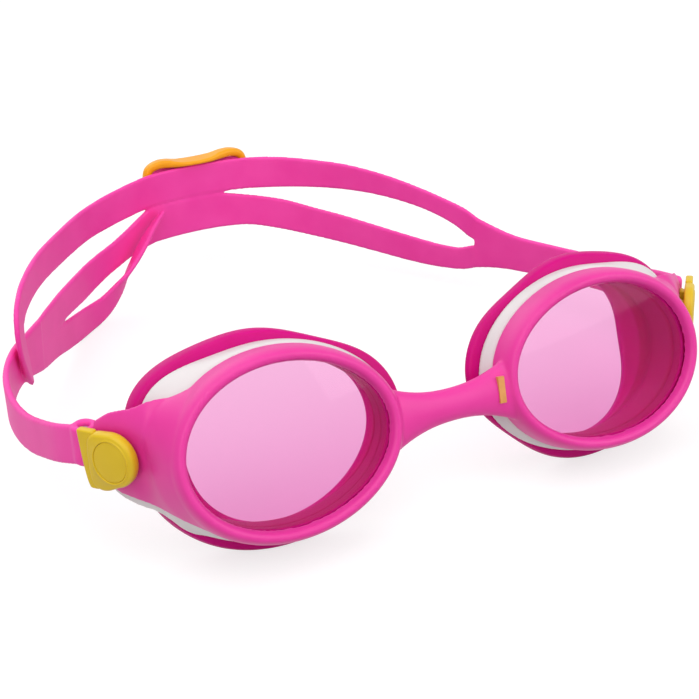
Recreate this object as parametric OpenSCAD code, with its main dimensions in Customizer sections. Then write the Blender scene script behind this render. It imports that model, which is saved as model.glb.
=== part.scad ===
// Swim goggles: a soft front frame over two rigid eye cups, tinted lenses,
// flared eye seals, ball-jointed side clips with push buttons, and a split
// head strap with a sliding rear buckle.
// Millimetres, +Z up, -Y towards the front, stood on its seals and strap.

/* [Eyes] */
// Distance between the lens centres
lens_spacing = 66; // [64:0.5:70]
// Half width of each lens opening
lens_half_w = 19.4; // [18.4:0.1:20]
// Half height of each lens opening
lens_half_h = 14.7; // [14:0.1:15.4]
// How much fuller the temple side of an opening is than the nose side
lens_egg = 0.04; // [0:0.01:0.08]
// Thickness of a lens
lens_t = 1.8; // [1.4:0.1:1.8]
// Angle that the front leans back by when it stands
frame_lean = 18.3; // [17.3:0.1:19.3]

/* [Rims and seals] */
// Width of the front lip around a lens opening
rim_w = 2.8; // [2.6:0.1:3.2]
// Depth of the lip in front of the lens plane
rim_front = 2.5; // [2:0.1:3]
// Width of the rigid eye cup beyond the opening
cup_w = 3.3; // [3.2:0.1:3.6]
// Width of the eye seal beyond the opening
seal_w = 5.7; // [5.4:0.1:6]
// Depth of the seal's edge behind the lens plane, at the middle
seal_depth = 13; // [12:0.5:14]
// How much deeper the temple side is than the nose side
temple_depth = 0.45; // [0.3:0.05:0.5]

/* [Nose bridge] */
// Height of the bridge at its middle
bridge_h = 6.2; // [5:0.1:8]
// Thickness of the bridge, front to back
bridge_t = 4.2; // [3:0.1:5]

/* [Side clips] */
// Diameter of a clip's round head
head_d = 10.4; // [10:0.1:11]
// Diameter of a push button
button_d = 7.4; // [7:0.1:7.6]
// Travel of a push button
button_travel = 0.9; // [0.5:0.1:0.9]
// Angle that each clip faces forward by
clip_toe = 40; // [36:1:44]
// Angle that the clips' tails slope down by at rest
clip_pitch = 1; // [0:1:4]
// Radius of the ball that a clip turns on
ball_r = 2.6; // [2.5:0.1:2.6]

/* [Strap] */
// Thickness of the strap's single stretches
strap_t = 1.7; // [1.6:0.1:1.8]
// Height of the strap along its sides
strap_h = 8.4; // [8.2:0.1:8.6]
// Height of the strap where it forks on the right
fork_h = 13.4; // [13:0.1:13.8]
// Height of the upper band behind the head
band_h = 8.4; // [8.2:0.1:8.6]
// Length of the strap from the right clip to its fork
fork_s = 72; // [71.5:0.5:72.5]
// Thickness of each band
band_t = 1.5; // [1.4:0.1:1.6]

/* [Rear buckle] */
// Length of the buckle along the strap
buckle_len = 26; // [24:1:28]
// Thickness of the buckle's plate
buckle_t = 2.2; // [2:0.1:2.6]

/* [Hidden] */
$fn = 64;
pink = "#e63c9f";
dark_pink = "#c8006f";
tint = [0.93, 0.6, 0.8, 0.5];
white = "#f4f1ee";
yellow = "#e2bd2e";
gold = "#d9a93a";
steel = "#b9bdc2";

// Where the lens centres stand above the surface and in front of the middle
stand_h = 22.94;
front_y = -64.35;

// Places along an eye's depth, behind the lens plane
lens_y = -0.4;
gasket_y = lens_y + lens_t + 0.05;
cup_y = 3.65;
cup_end = 8;
seam = 0.05;
eye_steps = 56;

// The side clips' pivot, in the leaning front's own frame
pivot_local = [61.3, 10.7, 3.3];
pivot = [pivot_local.x,
         pivot_local.y * cos(frame_lean) + pivot_local.z * sin(frame_lean),
         pivot_local.z * cos(frame_lean) - pivot_local.y * sin(frame_lean)];
pad_top = -0.9;
pad_t = 1.5;
neck_t = 2.2;
// The wing's outline around the clip: place along the tail, middle, half height
pad_rows = [[-5.6, 0.35, 9.6], [-2, 0.25, 8.9], [2, 0, 8], [3.9, 0, 6.2]];
socket_r = 3.4;
ball_h = pad_top - pad_t / 2;
ball_play = 0.06;
ball_end = -2.5;
neck_r = 2.2;
head_low = 0.1;
head_top = 2.1;
well_r = 1.75;
well_floor = -2;
button_floor = 1.25;
button_stem_r = 1.1;
spring_wire = 0.3;
spring_turns = 4;
pin_s = 8.2;
pin_h = -3;
pin_r = 0.75;
eye_r = 2.4;
eye_h = 7.6;
tongue_h = 4;
tongue_t = 1.4;
plate_end = 6.4;
plate_low = -3.3;
plate_top = 5.2;
boss_r = 1.35;

function smooth(x) = let (c = min(max(x, 0), 1)) (1 - cos(180 * c)) / 2;
function mix(a, b, x) = a + (b - a) * x;
function unit(v) = v / norm(v);

// Frames that the nodes stand in
module upright() { translate([0, front_y, stand_h]) children(); }
module leaning() { upright() rotate([-frame_lean, 0, 0]) children(); }
module clip_space() { translate(pivot) rotate([-clip_pitch, 0, 0]) rotate([0, 0, -clip_toe]) children(); }
module clip_axis() { clip_space() rotate([0, 90, 0]) children(); }
module both(side) { if (side == "right") children(); else mirror([1, 0, 0]) children(); }

// A point of an eye's outline at angle t, r beyond the opening and y behind it.
// Angle 0 is towards the temple.
function eye_point(t, r, y) =
  [lens_spacing / 2 + (lens_half_w + r) * cos(t), y, (lens_half_h + r) * sin(t) * (1 + lens_egg * cos(t))];

// The cup and seal are fuller by the nose, flat behind the clip's pad, spread
// out above and below it, and deeper there. How far they spread is given as
// [flat, upper corner, lower corner, nose, beside the nose], as shares of the
// width beyond 1 mm.
cup_spread = [0.4, 1.6, 1, 0.5, 0];
seal_spread = [0.15, 0.5, -0.1, 0.15, -0.3];
function lobe(t, at, tight) = let (d = abs((t - at + 540) % 360 - 180) * tight) d < 90 ? pow(cos(d), 4) : 0;
function spread(t, k) =
  k[1] * lobe(t, 34, 1.6) + k[2] * lobe(t, -30, 1.6) - k[0] * lobe(t, 0, 2) + k[3] * lobe(t, 180, 0.8)
  + k[4] * (lobe(t, 120, 1.8) + 1.5 * lobe(t, 218, 1.4));
function face_point(t, r, y, k) =
  let (back = min(max((y - cup_y - 0.35) / 4, 0), 1))
  eye_point(t, r > 1 ? 1 + (r - 1) * (1 + spread(t, k) * (k[0] < 0.2 ? 1 : back)) : r,
            y > cup_y ? cup_y + (y - cup_y) * (1 + temple_depth * cos(t)) : y);

// A closed ring with the profile's (r, y) points carried round the eye. A third
// value is the share of the roll-in at the temple that the point takes.
roll_in = 6.2;
function eye_rings(profile, k) = [for (i = [0 : eye_steps - 1])
  let (t = 360 * i / eye_steps)
  [for (q = profile) let (r = q.x - (len(q) > 2 ? q[2] * roll_in * lobe(t, 0, 0.75) : 0))
    is_list(k) ? face_point(t, r, q.y, k) : eye_point(t, r, q.y)]];

module ring_of(rings) {
  n = len(rings);
  m = len(rings[0]);
  points = [for (r = rings) each r];
  faces = [for (i = [0 : n - 1], j = [0 : m - 1])
    let (a = i * m + j, b = i * m + (j + 1) % m)
    let (c = ((i + 1) % n) * m + j, d = ((i + 1) % n) * m + (j + 1) % m)
    each [[a, c, b], [b, c, d]]];
  polyhedron(points = points, faces = faces, convexity = 8);
}

// A solid through a row of closed sections, with both ends capped
module skin_of(sections) {
  n = len(sections);
  m = len(sections[0]);
  points = [for (r = sections) each r];
  sides = [for (i = [0 : n - 2], j = [0 : m - 1])
    let (a = i * m + j, b = i * m + (j + 1) % m, c = a + m, d = b + m)
    each [[a, b, c], [b, d, c]]];
  first = [for (j = [1 : m - 2]) [0, j + 1, j]];
  last = [for (j = [1 : m - 2]) [(n - 1) * m, (n - 1) * m + j, (n - 1) * m + j + 1]];
  polyhedron(points = points, faces = concat(sides, first, last), convexity = 8);
}

// The outline of an opening grown by r, as a flat shape for a plate across Y
module eye_shape(r) {
  polygon([for (i = [0 : eye_steps - 1]) let (p = eye_point(360 * i / eye_steps, r, 0)) [p.x, p.z]]);
}
module eye_plate(r, y, t) { translate([0, y + t, 0]) rotate([90, 0, 0]) linear_extrude(t) eye_shape(r); }

// Room for the cup and the seal, cut out of the frame behind the rim
cup_room = [[rim_w, cup_y - 0.07], [rim_w, cup_y + 0.3], [cup_w, cup_y + 1.2], [cup_w + 0.1, 6.5], [cup_w, cup_end]];
seal_room = [[seal_w - 0.4, cup_end + 0.6], [seal_w, cup_end + 1.6], [seal_w + 0.2, seal_depth + 4]];
module face_room() {
  room = 0.2;
  skin_of([for (q = concat(cup_room, seal_room)) [for (i = [0 : eye_steps - 1])
    face_point(360 * i / eye_steps, q.x + room, q.y, q.y < cup_end + 0.2 ? cup_spread : seal_spread)]]);
}

rim_profile = [
  [0, lens_y - seam], [0, 0.6 - rim_front / 2], [0.35, 0.5 - rim_front], [1, -rim_front],
  [1.7, 0.1 - rim_front], [2.3, 0.9 - rim_front], [rim_w - 0.1, -0.4], [rim_w + 0.1, 1.5],
  [rim_w, cup_y - seam], [0.9, cup_y - seam], [0.9, lens_y - seam]];

// One rim with its wing that sweeps back to the clip's pad
module rim_and_wing() {
  ring_of(eye_rings(rim_profile, undef));
  difference() {
    union() {
      hull() {
        for (t = [-54, -26, 0, 28, 60])
          translate(eye_point(t, rim_w - 1.5, 1.1)) sphere(r = 1.55, $fn = 20);
        rotate([frame_lean, 0, 0]) clip_space() pad_slab(pad_rows[0], neck_t);
      }
      hull() rotate([frame_lean, 0, 0]) clip_space() {
        pad_slab(pad_rows[0], neck_t);
        for (q = pad_rows) pad_slab(q, pad_t);
      }
    }
    eye_plate(1.7, -10, 30);
    face_room();
    rotate([frame_lean, 0, 0]) clip_axis() translate([0, 0, pad_top - 12]) cylinder(r = socket_r + seam, h = 20);
  }
}
module pad_slab(row, t) {
  width = 0.4;
  translate([pad_top - t, row[0] - width / 2, row[1] - row[2]]) cube([t, width, 2 * row[2]]);
}

// The saddle between the rims: elliptical sections that flare towards each rim
bridge_reach = 12.4;
function bridge_section(x) =
  let (f = pow(abs(x) / bridge_reach, 2.2))
  let (half_h = mix(bridge_h / 2, 7.2, f), half_t = mix(bridge_t / 2, 2.4, f))
  [for (i = [0 : 15]) let (a = -360 * i / 16) [x, 0.6 + half_t * cos(a), -0.8 + half_h * sin(a)]];

module front_frame() {
  color(pink) leaning() difference() {
    union() {
      for (side = ["left", "right"]) both(side) rim_and_wing();
      skin_of([for (i = [-8 : 8]) bridge_section(bridge_reach * i / 8)]);
    }
    tab_block(seam);
  }
}

// A thin plain inlay sunk into the bridge, beside the right rim
tab_size = [1.3, 1, 5];
module tab_block(room) {
  translate([9.68, -1.45, -0.14]) rotate([0, 3, 0]) cube([for (v = tab_size) v + 2 * room], center = true);
}
module bridge_tab() {
  color(gold) leaning() tab_block(0);
}

module lens(side) {
  color(tint) leaning() both(side) eye_plate(0.8, lens_y, lens_t);
}

module lens_gasket(side) {
  color(dark_pink) leaning() both(side) difference() {
    eye_plate(0.85, gasket_y, cup_y - 0.1 - gasket_y);
    eye_plate(0.15, gasket_y - 1, 6);
  }
}

cup_profile = [
  [0.95, cup_y], [rim_w - 0.2, cup_y], [mix(rim_w, cup_w, 0.6), cup_y + 0.5], [cup_w, cup_y + 1.4],
  [cup_w + 0.1, 6.5], [cup_w - 0.1, cup_end], [0.95, cup_end]];

module eye_cup(side) {
  color(white) leaning() both(side) ring_of(eye_rings(cup_profile, cup_spread));
}

// A sleeve inside the cup, a flange behind it and a flared skirt
seal_profile = [
  [0.15, cup_y], [0.9, cup_y], [0.9, cup_end + seam], [cup_w - 0.2, cup_end + seam],
  [seal_w - 0.5, cup_end + 0.6], [seal_w, cup_end + 1.6], [seal_w + 0.1, cup_end + 2.8],
  [seal_w - 0.3, seal_depth - 1.1], [seal_w - 1.2, seal_depth - 0.3], [3.3, seal_depth, 0.1],
  [2.5, seal_depth - 0.15, 0.6], [1.9, seal_depth - 0.4, 0.95], [1.6, seal_depth - 0.9, 1],
  [1.5, seal_depth - 1.4, 0.9], [1.2, seal_depth - 1.8, 0.4], [0.9, seal_depth - 2.6, 0.08],
  [0.45, seal_depth - 3.6], [0.15, cup_end + 0.4]];

module eye_seal(side) {
  color(dark_pink) leaning() both(side) ring_of(eye_rings(seal_profile, seal_spread));
}

// The rigid ring in the wing's pad that a clip's ball snaps into
module clip_socket(side) {
  color(white) upright() both(side) clip_axis() difference() {
    translate([0, 0, pad_top - pad_t]) cylinder(r = socket_r, h = pad_t);
    translate([0, 0, ball_h]) sphere(r = ball_r + ball_play);
  }
}

// The clip: a ball on a neck, a head that is square towards the tail, with a well
// for its button, and a tail plate whose tongue holds the strap's pin
module side_clip(side) {
  head_r = head_d / 2;
  edge = 0.8;
  square_s = head_r - 0.6;
  square_h = head_r - 0.1;
  color(yellow) upright() both(side) {
    clip_axis() difference() {
      union() {
        intersection() {
          translate([0, 0, ball_h]) sphere(r = ball_r);
          translate([0, 0, ball_end]) cylinder(r = head_r, h = 4);
        }
        translate([0, 0, ball_h]) cylinder(r = neck_r, h = head_low + 0.5 - ball_h);
        translate([-square_h, 0, head_low]) cube([2 * square_h, square_s, head_top - head_low - 0.1]);
        rotate_extrude() polygon(concat(
          [[0, head_low], [head_r - 0.3, head_low], [head_r, head_low + 0.4], [head_r, head_top - edge]],
          [for (a = [15 : 15 : 90]) [head_r - edge + edge * cos(a), head_top - edge + edge * sin(a)]],
          [[0, head_top]]));
      }
      translate([0, 0, button_floor - button_travel - 0.1]) cylinder(d = button_d + 0.1, h = 5);
      translate([0, 0, well_floor]) cylinder(r = well_r, h = 5);
    }
    clip_space() difference() {
      union() {
        translate([0.15, square_s - 0.5, plate_low]) cube([1.5, plate_end - square_s + 0.5, plate_top - plate_low]);
        hull() {
          translate([0.9, plate_end - tongue_t / 2 - 0.1, -tongue_h / 2]) cylinder(d = tongue_t, h = tongue_h);
          translate([pin_h, pin_s, -tongue_h / 2]) cylinder(r = boss_r, h = tongue_h);
        }
      }
      translate([pin_h, pin_s, -10]) cylinder(r = pin_r + 0.02, h = 20);
    }
  }
}

// A short pin through the tongue's boss, sunk into the strap's eye at both ends
module strap_pin(side) {
  h = eye_h - 1.6;
  color(steel) upright() both(side) clip_space() translate([pin_h, pin_s, -h / 2]) cylinder(r = pin_r, h = h);
}

module push_button(side) {
  r = button_d / 2;
  color(yellow) upright() both(side) clip_axis() rotate_extrude() polygon([
    [0, button_floor - 2.1], [button_stem_r, button_floor - 2.1], [button_stem_r, button_floor],
    [r, button_floor], [r, head_top], [r - 0.15, head_top + 0.2], [r * 0.6, head_top + 0.3], [0, head_top + 0.35]]);
}

// A spring round the button's stem: one tube wound along a helix
module button_spring(side) {
  coil_r = button_stem_r + spring_wire / 2 + 0.15;
  rise = button_floor - well_floor - spring_wire - 0.1;
  rings = 8 * spring_turns;
  color(steel) upright() both(side) clip_axis()
    translate([0, 0, well_floor + spring_wire / 2 + 0.05])
      skin_of([for (i = [0 : rings]) let (a = 360 * spring_turns * i / rings)
        [for (k = [0 : 5]) let (b = 60 * k, q = coil_r + spring_wire / 2 * cos(b))
          [q * cos(a), q * sin(a), rise * i / rings + spring_wire / 2 * sin(b)]]]);
}
spring_gap = (button_floor - well_floor - spring_wire - 0.1) / spring_turns - spring_wire;
echo(least_gap_between_spring_curls = spring_gap);

// The strap's route seen from above: three arcs from the right clip's pin to
// the middle of the back, then the same mirrored. A heading is the angle from
// +Y towards +X.
heading_clip = 10;
heading_side = -26;
heading_back = -38;
side_len = 61.4;
flank_len = 44;
to_rad = PI / 180;
// Outer edges and middles of the two bands where they run level behind the buckle
band_top = 8.4;
band_bottom = -9.6;
lower_h = band_top - band_h - band_bottom - 0.3;
upper_z = band_top - band_h / 2;
lower_z = band_bottom + lower_h / 2;
pin_centre = [
  pivot.x + pin_s * sin(clip_toe) + pin_h * cos(clip_toe),
  pivot.y + (pin_s * cos(clip_toe) - pin_h * sin(clip_toe)) * cos(clip_pitch),
  pivot.z - (pin_s * cos(clip_toe) - pin_h * sin(clip_toe)) * sin(clip_pitch)];
pin_z = pin_centre.z;
route_start = [69.1943, 17.4119];
side_r = side_len / ((heading_clip - heading_side) * to_rad);
flank_r = flank_len / ((heading_side - heading_back) * to_rad);

function arc_step(r, a, b) = r * [cos(b) - cos(a), sin(a) - sin(b)];
flank_start = route_start + arc_step(side_r, heading_clip, heading_side);
back_start = flank_start + arc_step(flank_r, heading_side, heading_back);
back_r = back_start.x / cos(heading_back);
back_y = back_start.y - back_r * sin(-heading_back);
half_route = side_len + flank_len + back_r * (90 + heading_back) * to_rad;

function heading(s) =
  s < side_len ? mix(heading_clip, heading_side, s / side_len) :
  s < side_len + flank_len ? mix(heading_side, heading_back, (s - side_len) / flank_len) :
  heading_back - (s - side_len - flank_len) / (back_r * to_rad);
function half_plan(s) = let (a = heading(s))
  s < side_len ? route_start + arc_step(side_r, heading_clip, a) :
  s < side_len + flank_len ? flank_start + arc_step(flank_r, heading_side, a) :
  back_start + arc_step(back_r, heading_back, a);

// A point at length s along the whole route, moved outwards by off, at height z
function route(s, off, z) =
  let (right = s <= half_route, h = right ? s : 2 * half_route - s)
  let (p = half_plan(h), a = heading(h))
  [(right ? 1 : -1) * (p.x + off * cos(a)), p.y - off * sin(a), z];

// Points along a stretch: length from its own clip, height of its middle line
// from the lens centres, its own height, how far inwards it runs, and its twist
right_single = [
  [1.6, pin_z, eye_h, 3.6], [10, -3, 8, 2], [24, -6.6, strap_h - 0.2, 0.6], [45, -9.4, strap_h, -0.7],
  [56, -9.7, strap_h + 0.2, 0], [62, -9.7, 9.3, 0], [67, -9.5, 11, 0], [fork_s, -9.3, fork_h, 0]];
left_single = [
  [1.6, pin_z, eye_h, 3.6], [8, -2.4, 7.6, 2.4], [16, -5, 7.7, 1.7], [24, -7.2, 8, 0.6],
  [32, -8.1, 8.4, -0.8], [40, -8, 8.8, -1.8], [48, -8.1, 9, -2], [56, -8.2, 9.2, -1.5],
  [64, -9.3, 9.8, -0.7], [72, -10.6, 11.4, 0]];
upper_right = [
  [67, -7.1, 5.2, 0], [fork_s, -5.5, 5.8, 0], [76, -3.4, 5.6, 0], [81, -1.7, 5.1, 0], [88, 0.1, 5.1, 0],
  [98, 1.9, 5.8, 0], [108, 2.9, 6.7, 0], [118, 3.4, 7.5, 0], [127, 3.9, 8.2, 0], [135, upper_z, band_h, 0]];
tail_left = [
  [58, 3.6, 6.4, 0.4], [64, 4.6, 6.6, 0.2], [77, 4.9, 7.1, 0], [94, 4, 7.6, 0], [110, 3.4, 8, 0],
  [122, 3.4, 8.3, 0], [135, upper_z, band_h, 0]];
lower_right = [
  [67, -11.9, 5, 0], [fork_s, -13, 5.8, 0], [76, -14.3, 5.8, 0], [82, -14.7, 6.2, 0], [90, -14.3, 6.8, 0],
  [100, -13.1, 7.2, 0], [110, -11.6, 7.6, 0], [119, -9.8, 7.8, 0], [127, -7.7, 8.2, 0], [135, -6, 8.2, 0], [142, lower_z, lower_h, 0]];
lower_left = [
  [58, -6, 4.4, -1.3], [64, -6.9, 5.2, -0.7], [72, -7.9, 6, 0], [80, -8.8, 6.8, 0], [92, -9.4, 7.2, 0],
  [107, -10, 7.8, 0], [120, -8.8, 7, 0], [127, -7.2, 7.4, 0], [135, lower_z, lower_h, 0]];
cross_left = [
  [58, -10.4, 4.4, -1.3, 0], [64, -11.9, 4.8, -0.7, 0], [72, -13.8, 5.6, 0, 0], [84, -16, 6.2, 0, 0],
  [94, -18.2, 6.4, 0, 0], [104, -19.7, 6.2, 0.2, 0], [112, -19, 6.4, 1.4, 5], [118, -16, 5.8, 2.6, 20],
  [123, -11.8, 5.2, 3.4, 45], [128, -7.2, 4.6, 3.8, 60], [132, -3.8, 4, 3.6, 60], [136.5, -1.2, 3.2, 2.8, 50]];

// A smooth curve through column k of a table of points, at s
function knot(t, i) = t[min(max(i, 0), len(t) - 1)];
function slope(t, i, k) = let (a = knot(t, i - 1), b = knot(t, i + 1)) (b[k] - a[k]) / (b[0] - a[0]);
function span(t, s, i = 0) = i >= len(t) - 2 || s < t[i + 1][0] ? i : span(t, s, i + 1);
function curve(t, s, k) =
  let (i = span(t, s), a = t[i], b = t[i + 1], w = b[0] - a[0], u = (s - a[0]) / w)
  let (m = slope(t, i, k) * w, n = slope(t, i + 1, k) * w)
  a[k] + u * m + u * u * (3 * (b[k] - a[k]) - 2 * m - n) + u * u * u * (m + n - 2 * (b[k] - a[k]));

// A ribbon along points with given up directions and heights
function ribbon_section(p, t, up, h, w) =
  let (n = unit(cross(t, up)), u = unit(cross(n, t)), e = h / 2, c = w / 2)
  [for (q = [[c, e - c], [0.45 * c, e], [-0.45 * c, e], [-c, e - c],
             [-c, c - e], [-0.45 * c, -e], [0.45 * c, -e], [c, c - e]])
    p + q.x * n + q.y * u];
module ribbon(points, ups, heights, w) {
  n = len(points);
  skin_of([for (i = [0 : n - 1])
    let (t = unit(points[min(i + 1, n - 1)] - points[max(i - 1, 0)]))
    ribbon_section(points[i], t, ups[i], heights[i], w)]);
}

// The strap stands upright, but leans with the pin where it leaves a clip
pin_up = [0, sin(clip_pitch), cos(clip_pitch)];
function strap_up(s) = mix(pin_up, [0, 0, 1], smooth(s / 25));
function steps(a, b, n) = [for (i = [0 : n]) a + (b - a) * i / n];
function table_steps(t, n) = steps(t[0][0], t[len(t) - 1][0], n);

module single_stretch(table) {
  s = table_steps(table, 24);
  ribbon([for (q = s) route(q, -curve(table, q, 3), curve(table, q, 1))], [for (q = s) strap_up(q)],
         [for (q = s) curve(table, q, 2)], strap_t);
}

// One band over the back: from the right fork, level behind the buckle, then
// down the left side along its own table
module band(right, left) {
  a = table_steps(right, 20);
  b = steps(half_route - 4, left[len(left) - 1][0] + 2, 2);
  c = [for (i = [20 : -1 : 0]) table_steps(left, 20)[i]];
  back = right[len(right) - 1];
  points = concat(
    [for (q = a) route(q, 0, curve(right, q, 1))],
    [for (q = steps(right[len(right) - 1][0] + 2, half_route, 3)) route(q, 0, back[1])],
    [for (q = b) route(2 * half_route - q, 0, back[1])],
    [for (q = c) route(2 * half_route - q, -curve(left, q, 3), curve(left, q, 1))]);
  heights = concat([for (q = a) curve(right, q, 2)], [for (i = [1 : 4 + len(b)]) back[2]], [for (q = c) curve(left, q, 2)]);
  ribbon(points, [for (p = points) [0, 0, 1]], heights, band_t);
}

// The upper band's free end: it hangs down inside the left stretch to a point.
// Length from the left clip, height, own height, and how far its top has turned
module tail_end() {
  hang = [[59, 3.8, 6.5, 0], [56.4, 2.6, 6.4, 0.3], [55.2, 0, 6.2, 0.65], [55.4, -3, 5.8, 0.95],
          [56.6, -6.5, 5, 1], [58.2, -10.4, 3.6, 1], [59.8, -14, 1, 1]];
  points = [for (q = hang) route(2 * half_route - q[0], -0.4, q[1])];
  along = unit(route(2 * half_route - 52, 0, 0) - route(2 * half_route - 60, 0, 0));
  ribbon(points, [for (q = hang) mix([0, 0, 1], along, q[3])], [for (q = hang) q[2]], band_t);
}

// The left fork's lower branch: it twists as it crosses inside the lower band
module crossing_band() {
  s = table_steps(cross_left, 26);
  points = [for (q = s) route(2 * half_route - q, -curve(cross_left, q, 3), curve(cross_left, q, 1))];
  ups = [for (q = s) let (a = curve(cross_left, q, 4), h = heading(q)) [sin(a) * cos(h), sin(a) * sin(h), cos(a)]];
  ribbon(points, ups, [for (q = s) curve(cross_left, q, 2)], band_t);
}

// The hollow of an end loop: a bore for the pin and a pocket for the clip's tongue
module eye_hollow() {
  pocket_h = tongue_h + 0.5;
  cylinder(r = pin_r + 0.2, h = 20, center = true);
  hull() {
    cylinder(r = boss_r + 0.2, h = pocket_h, center = true);
    translate([0.9 - pin_h, plate_end - tongue_t / 2 - 0.1 - pin_s, 0])
      cylinder(d = tongue_t + 0.5, h = pocket_h, center = true);
  }
}

module head_strap() {
  color(pink) upright() difference() {
    union() {
      for (side = ["left", "right"]) both(side) {
        single_stretch(side == "left" ? left_single : right_single);
        clip_space() translate([pin_h, pin_s, -eye_h / 2]) cylinder(r = eye_r, h = eye_h);
      }
      band(upper_right, tail_left);
      band(lower_right, lower_left);
      tail_end();
      crossing_band();
    }
    for (side = ["left", "right"]) both(side) clip_space() translate([pin_h, pin_s, 0]) eye_hollow();
  }
}

// A curved plate behind both bands, with a rail that reaches over the upper
// band's edge and a taller slotted block at each end behind that band alone
module rear_buckle() {
  play = 0.35;
  inner = back_r + band_t / 2 + play;
  rail_t = 0.9;
  rail_r = back_r - band_t / 2 - play - rail_t;
  low = band_bottom - 0.6;
  end_low = band_top - band_h + 0.1;
  waist = band_top + 1.3;
  end_top = band_top + 2.2;
  hook = 0.4;
  half_angle = buckle_len / 2 / (back_r * to_rad);
  end_angle = 9 / (back_r * to_rad);
  slot_angle = 5.4 / (back_r * to_rad);
  joined = 0.5;
  module sector(a0, a1) { rotate([0, 0, 90 + a0]) rotate_extrude(angle = a1 - a0, $fn = 128) children(); }
  color(yellow) upright() translate([0, back_y, 0]) difference() {
    union() {
      sector(end_angle - half_angle - joined, half_angle - end_angle + joined) polygon([
        [inner, low], [inner + buckle_t, low], [inner + buckle_t, waist], [rail_r, waist],
        [rail_r, band_top - hook], [rail_r + rail_t, band_top - hook], [rail_r + rail_t, band_top + play],
        [inner, band_top + play]]);
      for (a = [-half_angle, half_angle - end_angle]) sector(a, a + end_angle)
        translate([inner + 0.05, end_low]) square([buckle_t + 0.2, end_top - end_low]);
    }
    for (a = [-half_angle + end_angle / 2, half_angle - end_angle / 2])
      sector(a - slot_angle / 2, a + slot_angle / 2)
        translate([inner - 5, end_low + 1]) square([buckle_t + 10, band_top - end_low - 0.6]);
  }
}

front_frame();
bridge_tab();
lens("left");  // lens_left
lens("right");  // lens_right
lens_gasket("left");  // lens_gasket_left
lens_gasket("right");  // lens_gasket_right
eye_cup("left");  // eye_cup_left
eye_cup("right");  // eye_cup_right
eye_seal("left");  // eye_seal_left
eye_seal("right");  // eye_seal_right
clip_socket("left");  // clip_socket_left
clip_socket("right");  // clip_socket_right
side_clip("left");  // side_clip_left
side_clip("right");  // side_clip_right
push_button("left");  // push_button_left
push_button("right");  // push_button_right
button_spring("left");  // button_spring_left
button_spring("right");  // button_spring_right
strap_pin("left");  // strap_pin_left
strap_pin("right");  // strap_pin_right
head_strap();
rear_buckle();
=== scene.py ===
# %% [markdown]
# # Swim goggles, finished in Blender
# The goggles have a soft pink frame with two tinted lenses, white eye cups, flared
# seals, yellow side clips with push buttons, and a strap that forks round the back
# of the head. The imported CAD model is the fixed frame: it says where everything is
# and which pieces move together. This lesson gives each piece its finished surface.

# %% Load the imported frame
import bpy
import numpy as np
from mathutils import Matrix


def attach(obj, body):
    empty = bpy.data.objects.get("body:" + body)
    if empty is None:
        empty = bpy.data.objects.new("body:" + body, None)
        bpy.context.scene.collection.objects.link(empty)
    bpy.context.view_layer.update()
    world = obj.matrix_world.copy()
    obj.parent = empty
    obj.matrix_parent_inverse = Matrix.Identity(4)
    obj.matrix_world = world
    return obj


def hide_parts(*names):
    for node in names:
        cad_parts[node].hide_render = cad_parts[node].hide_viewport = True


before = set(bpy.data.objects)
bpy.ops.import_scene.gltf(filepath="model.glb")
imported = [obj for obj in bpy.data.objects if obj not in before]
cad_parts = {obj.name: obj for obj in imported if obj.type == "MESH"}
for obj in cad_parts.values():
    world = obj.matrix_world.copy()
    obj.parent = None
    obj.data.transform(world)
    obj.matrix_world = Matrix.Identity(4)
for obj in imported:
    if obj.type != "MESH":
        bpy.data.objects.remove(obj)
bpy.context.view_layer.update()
MM = 0.001

# %% [markdown]
# ## The camera
# The photograph looks down at the goggles from the front and a little from the
# wearer's right. The place and the directions below were solved from the lens
# outlines and the strap's edges, so the render can be laid over the photograph.

# %% Camera
scene = bpy.context.scene
scene.view_settings.view_transform = "Standard"
CAMERA_PLACE = np.array([-117.902, -273.21, 148.54]) * MM
# The columns are the camera's right, its up and the way back from what it sees.
CAMERA_AXES = np.array([[0.89771, 0.22086, -0.38123],
                        [-0.43889, 0.37246, -0.81772],
                        [-0.03861, 0.90138, 0.43129]])


def linked(name, data):
    """A new object in the scene for a mesh, a camera or a lamp."""
    made = bpy.data.objects.new(name, data)
    scene.collection.objects.link(made)
    return made


def placed(axes, place):
    """A world matrix from three axes, one in each column, and a place."""
    return Matrix([[*row, at] for row, at in zip(axes, place)] + [[0, 0, 0, 1]])


camera_data = bpy.data.cameras.new("camera")
camera_data.sensor_width = 36
camera_data.lens = 75.09
camera_data.clip_start = 0.01
scene.camera = linked("camera", camera_data)
scene.camera.matrix_world = placed(CAMERA_AXES, CAMERA_PLACE)
print("camera at", CAMERA_PLACE)

# %% [markdown]
# ## From formulas to meshes
# Every surface here is a grid of points. A ring is closed both ways, like the rim of
# a lens. A tube is closed round its section and capped at both ends, like a strap.
# The sign of the enclosed volume tells whether the faces point outwards.

# %% Grids, rings and tubes
def shell(points, quads, tris=np.empty((0, 3), int)):
    """A closed surface with its faces turned outwards: the volume, summed as one
    sixth of a . (b x c) over its triangles, must be positive."""
    fan = np.concatenate([quads[:, [0, 1, 2]], quads[:, [0, 2, 3]], tris])
    a, b, c = points[fan[:, 0]], points[fan[:, 1]], points[fan[:, 2]]
    if np.einsum("ij,ij->i", a, np.cross(b, c)).sum() < 0:
        quads, tris = quads[:, ::-1], tris[:, ::-1]
    return points, quads, tris


def grid_quads(rows, columns, closed):
    """The quads of a grid whose rows are closed loops. Where closed is true, the last
    row is joined to the first as well."""
    i, j = np.meshgrid(np.arange(rows if closed else rows - 1), np.arange(columns), indexing="ij")
    below, beside = (i + 1) % rows, (j + 1) % columns
    corners = ((i, j), (below, j), (below, beside), (i, beside))
    return np.stack([a * columns + b for a, b in corners], -1).reshape(-1, 4)


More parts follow.
